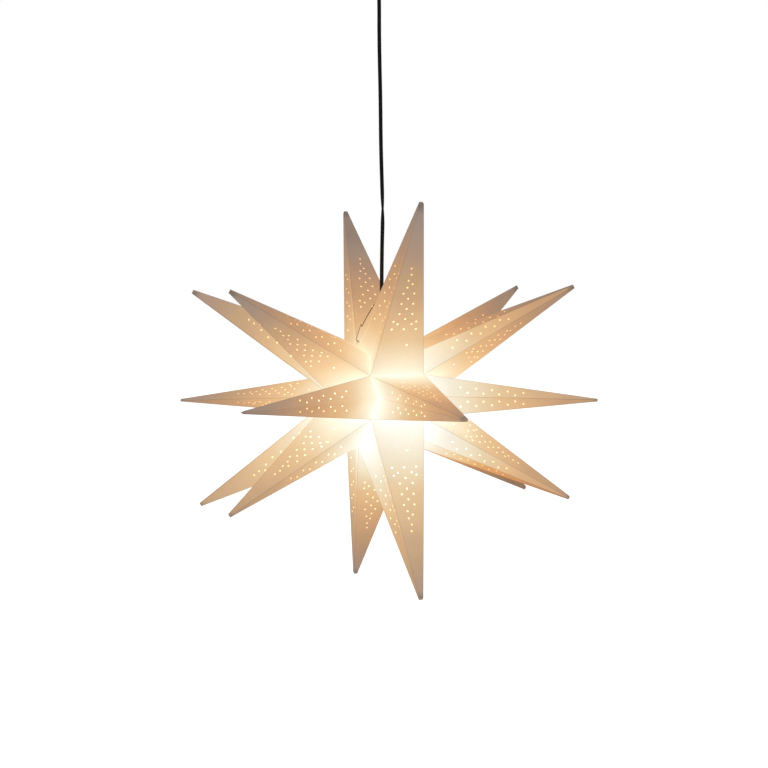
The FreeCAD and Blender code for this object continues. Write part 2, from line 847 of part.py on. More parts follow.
def bush_screw():
    start = V(0, flex_thickness / 2 + fit, cup_bottom - bush_height / 2)
    screw = rod(bush_screw_radius, start, V(0, bush_radius + 0.6, start.z))
    slot = block((0.5, 1.2, 4 * bush_screw_radius), V(0, bush_radius + 0.6, start.z))
    return screw.cut(slot)


def flex_cord():
    """The flat flex hangs straight from the clamp into the lampholder's gland."""
    low = shoulder.z - holder_wall - 2 * gland_flange - 1
    return flat_bar(V(0, 0, low), flex_width, flex_thickness, clamp_low - low)


def all_parts():
    parts = {
        "ceiling_plate": ceiling_plate(),
        "ceiling_hook": ceiling_hook(),
        "hook_nut": hook_nut(),
        "hanging_ring": hanging_ring(),
        "flex_tail": flex_tail(),
        "clamp_screws": clamp_screws(),
        "terminal_block": terminal_block(),
        "terminal_screws": terminal_screws(),
        "mains_cores": mains_cores(),
        "ceiling_cup": ceiling_cup(),
        "cup_bush": cup_bush(),
        "bush_screw": bush_screw(),
        "flex_cord": flex_cord(),
        "holder_cap": holder_cap(),
        "holder_skirt": holder_skirt(),
        "holder_insert": holder_insert(),
        "screw_shell": screw_shell(),
        "shade_ring": shade_ring(),
        "cord_gland": cord_gland(),
        "gland_nut": gland_nut(),
        "hanger_plate": hanger_plate(),
        "closing_flap_left": closing_flap(-1),
        "closing_flap_right": closing_flap(1),
    }
    parts["clamp_body"], parts["clamp_cover"] = cord_clamp()
    parts.update(bulb_parts())
    parts.update(middle_points())
    parts.update(side_points())
    return parts


os.makedirs("parts", exist_ok=True)
for name, shape in all_parts().items():
    print(f"{name:28s} solids {len(shape.Solids)}  volume {shape.Volume:10.1f}  valid {shape.isValid()}")
    shape.exportStep("parts/" + name + ".step")
print(f"flex: one straight run of {clamp_low - shoulder.z:.0f} mm, no bend")
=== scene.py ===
"""A lit eighteen-point star on a flat flex: the looks, built round its construction frame.

The frame holds every piece at its real size. This script gives the construction pieces their
finishes, and builds the pieces whose looks need more than the frame shows: the pricked sheet points
with their welds and the flat flex.
Metres, +Z up, the ceiling face of the hook plate at the origin, the star's front along -Y.
"""

import json
import logging
import math
from collections.abc import Iterable, Sequence
from dataclasses import dataclass, field
from enum import Enum, IntEnum

import bmesh
import bpy
from mathutils import Matrix, Vector


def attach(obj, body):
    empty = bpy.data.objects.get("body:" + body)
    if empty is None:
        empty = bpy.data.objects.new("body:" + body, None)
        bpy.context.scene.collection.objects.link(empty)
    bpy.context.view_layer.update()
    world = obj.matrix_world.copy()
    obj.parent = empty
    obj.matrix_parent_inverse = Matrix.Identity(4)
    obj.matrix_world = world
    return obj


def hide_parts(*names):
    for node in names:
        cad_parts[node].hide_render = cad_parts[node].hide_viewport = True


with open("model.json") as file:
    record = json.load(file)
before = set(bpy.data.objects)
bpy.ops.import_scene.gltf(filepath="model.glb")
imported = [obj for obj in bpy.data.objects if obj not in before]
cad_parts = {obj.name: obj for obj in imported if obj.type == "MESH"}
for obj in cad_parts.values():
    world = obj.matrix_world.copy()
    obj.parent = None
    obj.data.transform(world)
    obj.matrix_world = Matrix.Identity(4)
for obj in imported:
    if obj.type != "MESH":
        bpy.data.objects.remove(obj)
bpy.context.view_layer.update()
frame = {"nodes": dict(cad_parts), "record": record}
log = logging.getLogger("pendant")

STAR_DROP = 0.630           # ceiling down to the middle of the star
LAMP_DROP = 0.0254          # middle of the star down to the middle of the bulb's globe


class Side(IntEnum):
    """Where a point stands along the star's own left-to-right axis."""
    LEFT = -1
    MIDDLE = 0
    RIGHT = 1


class Depth(IntEnum):
    """Whether a point is on the front or the back of the star."""
    FRONT = -1
    BACK = 1


class Tier(Enum):
    """How high a point stands: the value is the word for it in a node's name."""
    UPPER = "upper"
    LEVEL = ""
    LOWER = "lower"


class Part(IntEnum):
    """Which finish of a sheet piece a face takes."""
    OUTSIDE = 0
    INSIDE = 1
    # the welds and the tips' ends; on a flap, the painted shadow along its free edge
    WELD = 2


class Slot(Enum):
    """Material slots of the object, by their names in the record."""
    SHEET = "star_sheet"
    FLEX = "flex_sheath"
    CORE = "core_insulation"
    ZINC = "zinc_steel"
    BLACK = "black_plastic"
    CLEAR = "clear_plastic"
    BRASS = "brass"
    WHITE = "white_plastic"
    PORCELAIN = "porcelain"
    NICKEL = "nickel"
    BULB = "bulb_white"
    GLOBE = "bulb_diffuser"


# ---- small helpers for node trees and meshes ----
def add_node(tree: bpy.types.NodeTree, kind: str, **settings: object) -> bpy.types.Node:
    """Adds a node and sets its properties.

    Args:
        tree: The node tree to add to.
        kind: The node's type name.
        settings: Properties of the node, by name.
    Returns:
        The new node.
    """
    node = tree.nodes.new(kind)
    for name, value in settings.items():
        setattr(node, name, value)
    return node


def join(tree: bpy.types.NodeTree, source: bpy.types.NodeSocket,
         target: bpy.types.NodeSocket) -> None:
    """Links one socket to another."""
    tree.links.new(source, target)


def calculate(tree: bpy.types.NodeTree, operation: str, first: object,
              second: object = 0.0) -> bpy.types.NodeSocket:
    """Adds one arithmetic step.

    Args:
        tree: The node tree to add to.
        operation: Name of the arithmetic operation.
        first: A socket or a number.
        second: A socket or a number.
    Returns:
        The socket with the result.
    """
    node = add_node(tree, "ShaderNodeMath", operation=operation)
    for socket, value in zip(node.inputs, (first, second)):
        if isinstance(value, bpy.types.NodeSocket):
            join(tree, value, socket)
        else:
            socket.default_value = value
    return node.outputs[0]


def mixed(tree: bpy.types.NodeTree, kind: str, share: object, first: object,
          second: object) -> bpy.types.NodeSocket:
    """Mixes two colours.

    Args:
        tree: The node tree to add to.
        kind: Blend type, such as MIX or MULTIPLY.
        share: A socket or a number.
        first: A socket or an (r, g, b) colour.
        second: A socket or an (r, g, b) colour.
    Returns:
        The socket with the mixed colour.
    """
    node = add_node(tree, "ShaderNodeMix", data_type="RGBA", blend_type=kind, clamp_factor=False)
    sockets = (node.inputs[0], node.inputs[6], node.inputs[7])
    for socket, value in zip(sockets, (share, first, second)):
        if isinstance(value, bpy.types.NodeSocket):
            join(tree, value, socket)
        elif isinstance(value, tuple):
            socket.default_value = (*value, 1.0)
        else:
            socket.default_value = value
    return node.outputs[2]


def ranged(tree: bpy.types.NodeTree, value: bpy.types.NodeSocket,
           given: tuple[float, float] = (0.0, 1.0), wanted: tuple[float, float] = (0.0, 1.0),
           shape: str = "LINEAR") -> bpy.types.NodeSocket:
    """Carries a value from one range to another.

    Args:
        tree: The node tree to add to.
        value: The socket with the value.
        given: Start and end of its own range.
        wanted: What the start and the end become.
        shape: How it runs between them, such as LINEAR or SMOOTHSTEP.
    Returns:
        The socket with the result.
    """
    node = add_node(tree, "ShaderNodeMapRange", interpolation_type=shape)
    join(tree, value, node.inputs["Value"])
    for name, number in zip(("From Min", "From Max", "To Min", "To Max"), (*given, *wanted)):
        node.inputs[name].default_value = number
    return node.outputs[0]


def distance_from(tree: bpy.types.NodeTree,
                  centre: tuple[float, float, float]) -> bpy.types.NodeSocket:
    """Adds the distance of the shaded place from a centre, and returns its socket."""
    away = add_node(tree, "ShaderNodeVectorMath", operation="DISTANCE")
    join(tree, add_node(tree, "ShaderNodeTexCoord").outputs["Object"], away.inputs[0])
    away.inputs[1].default_value = centre
    return away.outputs["Value"]


def new_material(name: str) -> tuple[bpy.types.Material, bpy.types.NodeTree, bpy.types.Node]:
    """Makes a material, and returns it with its node tree and its surface shader."""
    material = bpy.data.materials.new(name)
    material.use_nodes = True
    return material, material.node_tree, material.node_tree.nodes["Principled BSDF"]


def new_group(name: str, inputs: dict[str, float], outputs: dict[str, str]
              ) -> tuple[bpy.types.NodeTree, bpy.types.Node, bpy.types.Node]:
    """Makes an empty node group.

    Args:
        name: Name of the group.
        inputs: Float inputs and their defaults.
        outputs: Output names and their socket types.
    Returns:
        The group, its input node and its output node.
    """
    tree = bpy.data.node_groups.new(name, "ShaderNodeTree")
    for label, value in inputs.items():
        socket = tree.interface.new_socket(label, in_out="INPUT", socket_type="NodeSocketFloat")
        socket.default_value = value
    for label, kind in outputs.items():
        tree.interface.new_socket(label, in_out="OUTPUT", socket_type=kind)
    return tree, tree.nodes.new("NodeGroupInput"), tree.nodes.new("NodeGroupOutput")


def new_object(name: str, bm: bmesh.types.BMesh, materials: Iterable[bpy.types.Material],
               smooth: bool = False) -> bpy.types.Object:
    """Turns a finished mesh into an object at the origin.

    Args:
        name: Name of the object.
        bm: The mesh, which is used up.
        materials: Its material slots.
        smooth: Whether its faces are shaded smooth.
    Returns:
        The new object.
    """
    mesh = bpy.data.meshes.new(name)
    for face in bm.faces:
        face.smooth = smooth
    bm.to_mesh(mesh)
    bm.free()
    for material in materials:
        mesh.materials.append(material)
    obj = bpy.data.objects.new(name, mesh)
    bpy.context.scene.collection.objects.link(obj)
    return obj


# ---- light that comes through the sheet ----
@dataclass(frozen=True)
class LampGlow:
    """How the lit sheet's colour changes with its distance from the lamp."""
    near: float = 0.050         # distances where the colours start and end
    far: float = 0.330
    surface: float = 0.13       # light that the sheet sends back from the room, left out
    warm: tuple[float, float, float] = (1.0, 0.78, 0.50)
    warm_from: tuple[float, float] = (0.07, 0.16)   # distances over which warmth sets in
    stops: tuple[tuple[float, tuple[float, float, float]], ...] = (
        (0.050, (1.05, 1.02, 0.96)), (0.070, (0.92, 0.88, 0.77)), (0.090, (0.86, 0.77, 0.59)),
        (0.110, (0.82, 0.65, 0.44)), (0.130, (0.78, 0.54, 0.32)), (0.160, (0.71, 0.46, 0.27)),
        (0.190, (0.61, 0.39, 0.24)), (0.220, (0.53, 0.35, 0.22)), (0.250, (0.455, 0.31, 0.23)),
        (0.290, (0.37, 0.285, 0.235)), (0.330, (0.31, 0.25, 0.22)),
    )

    def group(self) -> bpy.types.NodeTree:
        """Node group: the glow's colour, browner for a shade over 1 and oranger by warmth."""
        tree, given, result = new_group("lamp_glow", {"Shade": 1.0, "Warmth": 0.0},
                                        {"Colour": "NodeSocketColor"})
        away = distance_from(tree, (0.0, 0.0, -STAR_DROP - LAMP_DROP))
        run = calculate(tree, "MULTIPLY", away, given.outputs["Shade"])
        ramp = add_node(tree, "ShaderNodeValToRGB")
        join(tree, ranged(tree, run, (self.near, self.far)), ramp.inputs[0])
        self.set_stops(ramp.color_ramp)
        onset = ranged(tree, away, self.warm_from)
        warmth = calculate(tree, "MULTIPLY", onset, given.outputs["Warmth"])
        tint = mixed(tree, "MIX", warmth, (1.0, 1.0, 1.0), self.warm)
        light = mixed(tree, "MULTIPLY", 1.0, ramp.outputs["Color"], tint)
        join(tree, light, result.inputs["Colour"])
        return tree

    def set_stops(self, ramp: bpy.types.ColorRamp) -> None:
        """Puts the stops on a colour ramp."""
        for i, (distance, colour) in enumerate(self.stops):
            spot = (distance - self.near) / (self.far - self.near)
            stop = ramp.elements[i] if i < 2 else ramp.elements.new(spot)
            stop.position = spot
            stop.color = (*(max(0.0, part - self.surface) for part in colour), 1.0)


@dataclass(frozen=True)
class SheetMottle:
    """Cloudy patches and fine grain of the translucent sheet."""
    cloud_scale: float = 26.0
    cloud_depth: float = 0.10
    grain_scale: float = 900.0
    grain_depth: float = 0.07
    detail: float = 3.0

    def group(self) -> bpy.types.NodeTree:
        """Node group: a factor round 1 for the glow, and a height for the surface's grain."""
        tree, _, result = new_group("sheet_mottle", {},
                                    {"Factor": "NodeSocketFloat", "Height": "NodeSocketFloat"})
        place = add_node(tree, "ShaderNodeTexCoord").outputs["Object"]
        parts = []
        for scale, depth in ((self.cloud_scale, self.cloud_depth),
                             (self.grain_scale, self.grain_depth)):
            noise = add_node(tree, "ShaderNodeTexNoise")
            noise.inputs["Scale"].default_value = scale
            noise.inputs["Detail"].default_value = self.detail
            join(tree, place, noise.inputs["Vector"])
            centred = calculate(tree, "SUBTRACT", noise.outputs["Fac"], 0.5)
            parts.append(calculate(tree, "MULTIPLY", centred, 2 * depth))
            grain = noise.outputs["Fac"]
        total = calculate(tree, "ADD", parts[0], parts[1])
        join(tree, calculate(tree, "ADD", total, 1.0), result.inputs["Factor"])
        join(tree, grain, result.inputs["Height"])
        return tree


@dataclass(frozen=True)
class LitSheet:
    """Finish of the points' sheet, lit from inside."""
    name: str = "lit_sheet"
    colour: tuple[float, float, float] = (0.43, 0.40, 0.37)
    strength: float = 1.0
    ridges: bool = True
    ridge_shade_width: float = 0.0009      # painted shade: a faint dark line along each folded ridge
    ridge_shade_core: float = 0.2          # share of the line that has its full depth
    ridge_shade_depth: float = 0.38
    tip_start: float = 0.284        # distance from the star's middle where painted shade starts to dim the tips
    tip_end: float = 0.297
    tip_shade_factor: float = 0.45
    roughness: float = 0.55
    bump: float = 0.08
    bump_height: float = 0.0004

    def material(self, glow: bpy.types.NodeTree,
                 mottle: bpy.types.NodeTree) -> bpy.types.Material:
        """Builds the material.

        Args:
            glow: The lamp's glow group.
            mottle: The sheet's mottle group.
        Returns:
            The new material.
        """
        material, tree, surface = new_material(self.name)
        # painted light and shade of each wall: its shade and warmth, read from its faces
        shade = add_node(tree, "ShaderNodeAttribute", attribute_name="shade").outputs["Fac"]
        warmth = add_node(tree, "ShaderNodeAttribute", attribute_name="warmth").outputs["Fac"]
        light = add_node(tree, "ShaderNodeGroup", node_tree=glow)
        join(tree, shade, light.inputs["Shade"])
        join(tree, warmth, light.inputs["Warmth"])
        cloud = add_node(tree, "ShaderNodeGroup", node_tree=mottle)
        colour = add_node(tree, "ShaderNodeVectorMath", operation="SCALE")
        join(tree, light.outputs["Colour"], colour.inputs[0])
        join(tree, self.with_painted_shade(tree, cloud.outputs["Factor"]), colour.inputs["Scale"])
        join(tree, colour.outputs[0], surface.inputs["Emission Color"])
        surface.inputs["Emission Strength"].default_value = self.strength
        tint = mixed(tree, "MULTIPLY", 1.0, self.colour, cloud.outputs["Factor"])
        join(tree, tint, surface.inputs["Base Color"])
        surface.inputs["Roughness"].default_value = self.roughness
        bump = add_node(tree, "ShaderNodeBump")
        bump.inputs["Strength"].default_value = self.bump
        bump.inputs["Distance"].default_value = self.bump_height
        join(tree, cloud.outputs["Height"], bump.inputs["Height"])
        join(tree, bump.outputs[0], surface.inputs["Normal"])
        return material

    def with_painted_shade(self, tree: bpy.types.NodeTree,
                factor: bpy.types.NodeSocket) -> bpy.types.NodeSocket:
        """The mottle factor, with painted shade along the ridges and at the tips.

        Args:
            tree: The material's node tree.
            factor: The mottle factor.
        Returns:
            The socket with the dimmed factor.
        """
        away = distance_from(tree, (0.0, 0.0, -STAR_DROP))
        tip = ranged(tree, away, (self.tip_start, self.tip_end), (1.0, self.tip_shade_factor), "SMOOTHSTEP")
        factor = calculate(tree, "MULTIPLY", factor, tip)
        if not self.ridges:
            return factor
        ways = add_node(tree, "ShaderNodeUVMap", uv_map="ridges").outputs[0]
        split = add_node(tree, "ShaderNodeSeparateXYZ")
        join(tree, ways, split.inputs[0])
        nearest = calculate(tree, "MINIMUM", split.outputs[0], split.outputs[1])
        line = ranged(tree, nearest, (self.ridge_shade_core * self.ridge_shade_width, self.ridge_shade_width),
                      (1.0 - self.ridge_shade_depth, 1.0), "SMOOTHSTEP")
        return calculate(tree, "MULTIPLY", factor, line)


@dataclass(frozen=True)
class WeldAndShadowEdge:
    """Finish of the welds and the tips' ends, lit from inside, and the painted shadow along the
    flaps' free edges.
    """
    name: str = "weld_edge"
    colour: tuple[float, float, float] = (0.36, 0.32, 0.29)
    share: float = 0.92
    roughness: float = 0.5

    def material(self, glow: bpy.types.NodeTree,
                 mottle: bpy.types.NodeTree) -> bpy.types.Material:
        """Builds the material.

        Args:
            glow: The lamp's glow group.
            mottle: The sheet's mottle group.
        Returns:
            The new material.
        """
        material, tree, surface = new_material(self.name)
        light = add_node(tree, "ShaderNodeGroup", node_tree=glow)
        cloud = add_node(tree, "ShaderNodeGroup", node_tree=mottle)
        tint = mixed(tree, "MULTIPLY", 1.0, self.colour, cloud.outputs["Factor"])
        join(tree, tint, surface.inputs["Base Color"])
        join(tree, light.outputs["Colour"], surface.inputs["Emission Color"])
        surface.inputs["Emission Strength"].default_value = self.share
        surface.inputs["Roughness"].default_value = self.roughness
        return material


@dataclass(frozen=True)
class Grain:
    """Fine change of tone and roughness, shared by the plain finishes."""
    coarse_scale: float = 60.0
    fine_scale: float = 400.0

    def group(self) -> bpy.types.NodeTree:
        """Node group: two values between 0 and 1, one coarse and one fine."""
        tree, given, result = new_group("surface_grain", {"Scale": self.fine_scale},
                                        {"Coarse": "NodeSocketFloat", "Fine": "NodeSocketFloat"})
        place = add_node(tree, "ShaderNodeTexCoord").outputs["Object"]
        coarse = add_node(tree, "ShaderNodeTexNoise")
        coarse.inputs["Scale"].default_value = self.coarse_scale
        join(tree, place, coarse.inputs["Vector"])
        fine = add_node(tree, "ShaderNodeTexNoise")
        join(tree, place, fine.inputs["Vector"])
        join(tree, given.outputs["Scale"], fine.inputs["Scale"])
        join(tree, coarse.outputs["Fac"], result.inputs["Coarse"])
        join(tree, fine.outputs["Fac"], result.inputs["Fine"])
        return tree


@dataclass(frozen=True)
class PlainFinish:
    """A metal, plastic or ceramic finish with a little grain."""
    slot: Slot
    colour: tuple[float, float, float]
    second: tuple[float, float, float]
    roughness: float = 0.4
    metallic: float = 0.0
    transmission: float = 0.0
    glow: float = 0.0
    scale: float = 400.0
    bump: float = 0.05
    bump_height: float = 0.0005
    spread: float = 0.2         # how far the roughness strays, as a share of it

    def material(self, grain: bpy.types.NodeTree) -> bpy.types.Material:
        """Builds the material from the shared grain group."""
        material, tree, surface = new_material(self.slot.value)
        spots = add_node(tree, "ShaderNodeGroup", node_tree=grain)
        spots.inputs["Scale"].default_value = self.scale
        tint = mixed(tree, "MIX", spots.outputs["Coarse"], self.colour, self.second)
        join(tree, tint, surface.inputs["Base Color"])
        surface.inputs["Metallic"].default_value = self.metallic
        surface.inputs["Transmission Weight"].default_value = self.transmission
        limits = ((1.0 - self.spread) * self.roughness, (1.0 + self.spread) * self.roughness)
        rough = ranged(tree, spots.outputs["Fine"], wanted=limits)
        join(tree, rough, surface.inputs["Roughness"])
        bump = add_node(tree, "ShaderNodeBump")
        bump.inputs["Strength"].default_value = self.bump
        bump.inputs["Distance"].default_value = self.bump_height
        join(tree, spots.outputs["Fine"], bump.inputs["Height"])
        join(tree, bump.outputs[0], surface.inputs["Normal"])
        if self.glow:
            join(tree, tint, surface.inputs["Emission Color"])
            surface.inputs["Emission Strength"].default_value = self.glow
        return material


# ---- the star ----
@dataclass(frozen=True)
class StarBody:
    """The six-sided body that the points stand on, and the reach of their tips."""
    half_width: float = 0.0384
    half_depth: float = 0.0538
    front_half_height: float = 0.0295
    half_height: float = 0.0693
    cap_reach: float = 0.0739
    valley_in: float = 0.008
    valley_rise: float = 0.007

    def place(self, x: float, y: float, z: float) -> Vector:
        """A place measured from the middle of the star."""
        return Vector((x, y, z - STAR_DROP))

    def corner(self, side: int, depth: int, level: int) -> Vector:
        """A corner of the body; depth 0 is the top or the bottom edge."""
        if depth == 0:
            return self.place(side * self.half_width, 0.0, level * self.half_height)
        return self.place(side * self.half_width, depth * self.half_depth,
                          level * self.front_half_height)

    def apex(self, side: int) -> Vector:
        """Where the six side points of one end meet."""
        return self.place(side * self.cap_reach, 0.0, 0.0)

    def valley(self, side: int, near: tuple[int, int], far: tuple[int, int]) -> Vector:
        """Middle of the valley between a middle point and its side neighbour."""
        middle = (self.corner(side, *near) + self.corner(side, *far)) / 2
        outward = Vector((0.0, middle.y, middle.z + STAR_DROP)).normalized()
        return middle + outward * self.valley_rise - Vector((side * self.valley_in, 0.0, 0.0))

    def tip(self, tier: Tier, depth: Depth, side: Side) -> Vector:
        """Tip of a point."""
        reach = {
            (Tier.LEVEL, True): (0.0, 0.3000, -0.0173),
            (Tier.UPPER, True): (0.0, 0.1552, 0.2563),
            (Tier.LOWER, True): (0.0, 0.1347, -0.2631),
            (Tier.LEVEL, False): (0.2461, 0.1606, -0.0071),
            (Tier.UPPER, False): (0.2421, 0.0971, 0.1459),
            (Tier.LOWER, False): (0.2422, 0.0761, -0.1468),
        }[tier, side is Side.MIDDLE]
        return self.place(side * reach[0], depth * reach[1], reach[2])


@dataclass(frozen=True)
class PinPattern:
    """Rows of pinholes on a facet, as (share of the way to the tip, place across from -1 to 1)."""
    first: float = 0.275        # start of the rows
    step: float = 0.06          # pitch of the inner rows
    count: int = 4
    inner: float = 0.36         # how far across the two rows beside the middle one stand
    outer: float = 0.6
    close_step: float = 0.045   # pitch of the outer holes and of a half facet's
    zigzag: tuple[float, float, float] = (0.52, 0.02, 0.17)     # start, pitch, place across
    singles: tuple[tuple[float, float], ...] = ((0.595, 0.0), (0.631, 0.09), (0.18, -0.23))
    half_first: float = 0.22
    half_count: int = 9
    half_across: tuple[float, float] = (-0.1, 0.45)     # even and odd holes of a half facet

    def plain(self) -> list[tuple[float, float]]:
        """Holes of a flat facet: three rows, wide ones, a zigzag and single ones."""
        spots = [(self.first + self.step * i, 0.0) for i in range(self.count)]
        for i in range(self.count):
            share = self.first + self.step * (i + 0.5)
            spots += [(share, self.inner * way) for way in (-1, 1)]
        spots += [(self.first + self.close_step * i, self.outer * way)
                  for i in (0, 1) for way in (-1, 1)]
        start, pitch, across = self.zigzag
        spots += [(start + pitch * i, across * (-1) ** i) for i in range(3)]
        return [*spots, *self.singles]

    def half(self, way: int) -> list[tuple[float, float]]:
        """Holes of one half of a creased facet, with the crease at way = -1 or 1."""
        return [(self.half_first + self.close_step * i, way * self.half_across[i % 2])
                for i in range(self.half_count)]


@dataclass(frozen=True)
class Tone:
    """How a wall is lit: browner for a shade over 1, oranger for a warmth over 0."""
    shade: float = 1.0
    warmth: float = 0.0


@dataclass(frozen=True)
class PointPlace:
    """Which point of the star this is."""
    tier: Tier
    depth: Depth
    side: Side

    @property
    def node(self) -> str:
        """Name of the construction piece that the point stands for."""
        words = ["point"]
        if self.side is not Side.MIDDLE:
            words.append(self.side.name.lower())
        if self.tier is not Tier.LEVEL:
            words.append(self.tier.value)
        return "_".join(words + [self.depth.name.lower()])

    def edges(self) -> tuple[tuple[int, int], tuple[int, int]]:
        """The two edges of the body that the point stands between, each (depth, level)."""
        return {
            Tier.LEVEL: ((self.depth, 1), (self.depth, -1)),
            Tier.UPPER: ((0, 1), (self.depth, 1)),
            Tier.LOWER: ((0, -1), (self.depth, -1)),
        }[self.tier]


@dataclass
class StarPoint:
    """One hollow point: pricked sheet walls, a blunt tip and welds along two ridges."""
    place: PointPlace
    body: StarBody
    pins: PinPattern
    sheet: float = 0.0008
    end_share: float = 0.065
    hole_radius: float = 0.00125
    hole_sides: int = 8
    weld_width: float = 0.0008
    weld_start: float = 0.014       # bare length of a ridge at the star's body
    weld_run: float = 4.0           # length of a weld's sloping start, in weld widths
    weld_root: float = 0.0003       # how deep a weld's foot stands in the sheet
    rim_reach: float = 0.006        # the open end lies within this distance of the tip

    def base(self) -> list[Vector]:
        """Corners of the base: six for a middle point, four for a side point."""
        near, far = self.place.edges()
        body = self.body
        if self.place.side is Side.MIDDLE:
            right = [body.corner(1, *near), body.valley(1, near, far), body.corner(1, *far)]
            left = [body.corner(-1, *far), body.valley(-1, near, far), body.corner(-1, *near)]
            return right + left
        side = int(self.place.side)
        return [body.corner(side, *near), body.valley(side, near, far), body.corner(side, *far),
                body.apex(side)]

    def tip(self) -> Vector:
        """Where the point ends."""
        return self.body.tip(self.place.tier, self.place.depth, self.place.side)

    def creases(self) -> tuple[int, ...]:
        """Base corners at the welded ridges whose walls share one facet's holes."""
        return (1, 4) if self.place.side is Side.MIDDLE else (1,)

    def welds(self) -> tuple[int, ...]:
        """Base corners at the welded ridges."""
        return (1, 4) if self.place.side is Side.MIDDLE else (1, 3)

    def shell(self, bm: bmesh.types.BMesh) -> list[bmesh.types.BMFace]:
        """Builds the walls from the base outline by one extrusion towards the tip.

        Args:
            bm: The point's empty mesh.
        Returns:
            The walls, in the order of the base's edges.
        """
        base = self.base()
        tip = self.tip()
        middle = sum(base, Vector()) / len(base)
        ring = [bm.verts.new(spot) for spot in base]
        edges = [bm.edges.new(pair) for pair in zip(ring, ring[1:] + ring[:1])]
        made = bmesh.ops.extrude_edge_only(bm, edges=edges)["geom"]
        ends = [item for item in made if isinstance(item, bmesh.types.BMVert)]
        smaller = Matrix.Scale(self.end_share, 4)
        narrow = Matrix.Translation(tip) @ smaller @ Matrix.Translation(-middle)
        bmesh.ops.transform(bm, matrix=narrow, verts=ends)
        bm.faces.ensure_lookup_table()
        self.face_outwards(bm, (middle + tip) / 2)
        return [edge.link_faces[0] for edge in edges]

    @staticmethod
    def face_outwards(bm: bmesh.types.BMesh, middle: Vector) -> None:
        """Turns every wall's normal away from the middle of the point."""
        for face in bm.faces:
            face.normal_update()
            if face.normal.dot(face.calc_center_median() - middle) < 0:
                face.normal_flip()

    def spots_on(self, wall: int) -> list[tuple[float, float]]:
        """Holes of one wall."""
        if wall in self.creases():
            return self.pins.half(-1)
        if wall + 1 in self.creases():
            return self.pins.half(1)
        return self.pins.plain()

    def build(self, materials: Sequence[bpy.types.Material]) -> bpy.types.Object:
        """Builds the point.

        Args:
            materials: Finishes of the outside, the inside, and the welds.
        Returns:
            The finished object, riding with the star.
        """
        bm = bmesh.new()
        shade = bm.faces.layers.float.new("shade")
        warmth = bm.faces.layers.float.new("warmth")
        ridges = bm.loops.layers.uv.new("ridges")
        walls = self.shell(bm)
        base = self.base()
        tip = self.tip()
        middle = sum(base, Vector()) / len(base)
        ends = [tip + (spot - middle) * self.end_share for spot in base]
        # painted light and shade of each wall, as a shade and a warmth on its faces
        tones = PAINTED_WALL_LIGHT.get(self.place.node, {})
        for wall, face in enumerate(walls):
            tone = tones.get(wall, Tone())
            after = (wall + 1) % len(base)
            corners = (base[wall], base[after], ends[after], ends[wall])
            for part in self.prick(bm, face, corners, self.spots_on(wall)):
                part[shade] = tone.shade
                part[warmth] = tone.warmth
                # distances to the wall's two ridges, for the painted shade along the folded ones; a
                # creased ridge gets none
                for loop in part.loops:
                    ways = (self.way_to(loop.vert.co, corners[0], corners[3]),
                            self.way_to(loop.vert.co, corners[1], corners[2]))
                    loop[ridges].uv = [1.0 if corner in self.creases() else way
                                       for corner, way in zip((wall, after), ways)]
        closed = bmesh.ops.holes_fill(bm, edges=self.rim(bm, tip), sides=0)["faces"]
        for face in closed:
            face.material_index = Part.WELD
        bmesh.ops.recalc_face_normals(bm, faces=bm.faces)
        for i in self.welds():
            self.weld(bm, base[i], ends[i], middle)
        obj = new_object("sheet_" + self.place.node, bm, materials)
        thick = obj.modifiers.new("sheet", "SOLIDIFY")
        thick.thickness = self.sheet
        thick.offset = -1.0
        thick.material_offset = Part.INSIDE
        thick.material_offset_rim = Part.INSIDE
        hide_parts(self.place.node)
        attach(obj, "pendant")
        return obj

    @staticmethod
    def way_to(spot: Vector, start: Vector, end: Vector) -> float:
        """Distance from a place to the line through two others."""
        along = (end - start).normalized()
        return (spot - start).cross(along).length

    def rim(self, bm: bmesh.types.BMesh, tip: Vector) -> list[bmesh.types.BMEdge]:
        """Edges of the open end at the tip."""
        return [edge for edge in bm.edges if edge.is_boundary
                and all((vert.co - tip).length < self.rim_reach for vert in edge.verts)]

    def prick(self, bm: bmesh.types.BMesh, face: bmesh.types.BMFace, corners: Sequence[Vector],
              spots: Sequence[tuple[float, float]]) -> list[bmesh.types.BMFace]:
        """Fills a wall again round its pinholes.

        Args:
            bm: The point's mesh.
            face: The whole wall.
            corners: Its two base corners and its two end corners.
            spots: Its pinholes.
        Returns:
            The new faces.
        """
        normal = face.normal.copy()
        edges = list(face.edges)
        turn = normal.to_track_quat("Z", "Y").to_matrix().to_4x4()
        for share, across in spots:
            low = corners[0].lerp(corners[1], (across + 1) / 2)
            high = corners[3].lerp(corners[2], (across + 1) / 2)
            place = Matrix.Translation(low.lerp(high, share)) @ turn
            ring = bmesh.ops.create_circle(bm, cap_ends=False, radius=self.hole_radius,
                                           segments=self.hole_sides, matrix=place)
            edges += {edge for vert in ring["verts"] for edge in vert.link_edges}
        bmesh.ops.delete(bm, geom=[face], context="FACES_ONLY")
        filled = bmesh.ops.triangle_fill(bm, use_beauty=True, edges=edges, normal=normal)["geom"]
        faces = [item for item in filled if isinstance(item, bmesh.types.BMFace)]
        for part in faces:
            part.normal_update()
            if part.normal.dot(normal) < 0:
                part.normal_flip()
        return faces

    def weld(self, bm: bmesh.types.BMesh, foot: Vector, end: Vector, middle: Vector) -> None:
        """Adds the fin of a weld that stands out along a ridge."""
        along = (end - foot).normalized()
        outward = foot - middle
        outward = (outward - along * outward.dot(along)).normalized()
        start = foot + along * self.weld_start
        spots = [start, end, end + outward * self.weld_width / 2,
                 start + along * self.weld_run * self.weld_width + outward * self.weld_width]
        face = bm.faces.new([bm.verts.new(spot - outward * self.weld_root) for spot in spots])
        face.material_index = Part.WELD
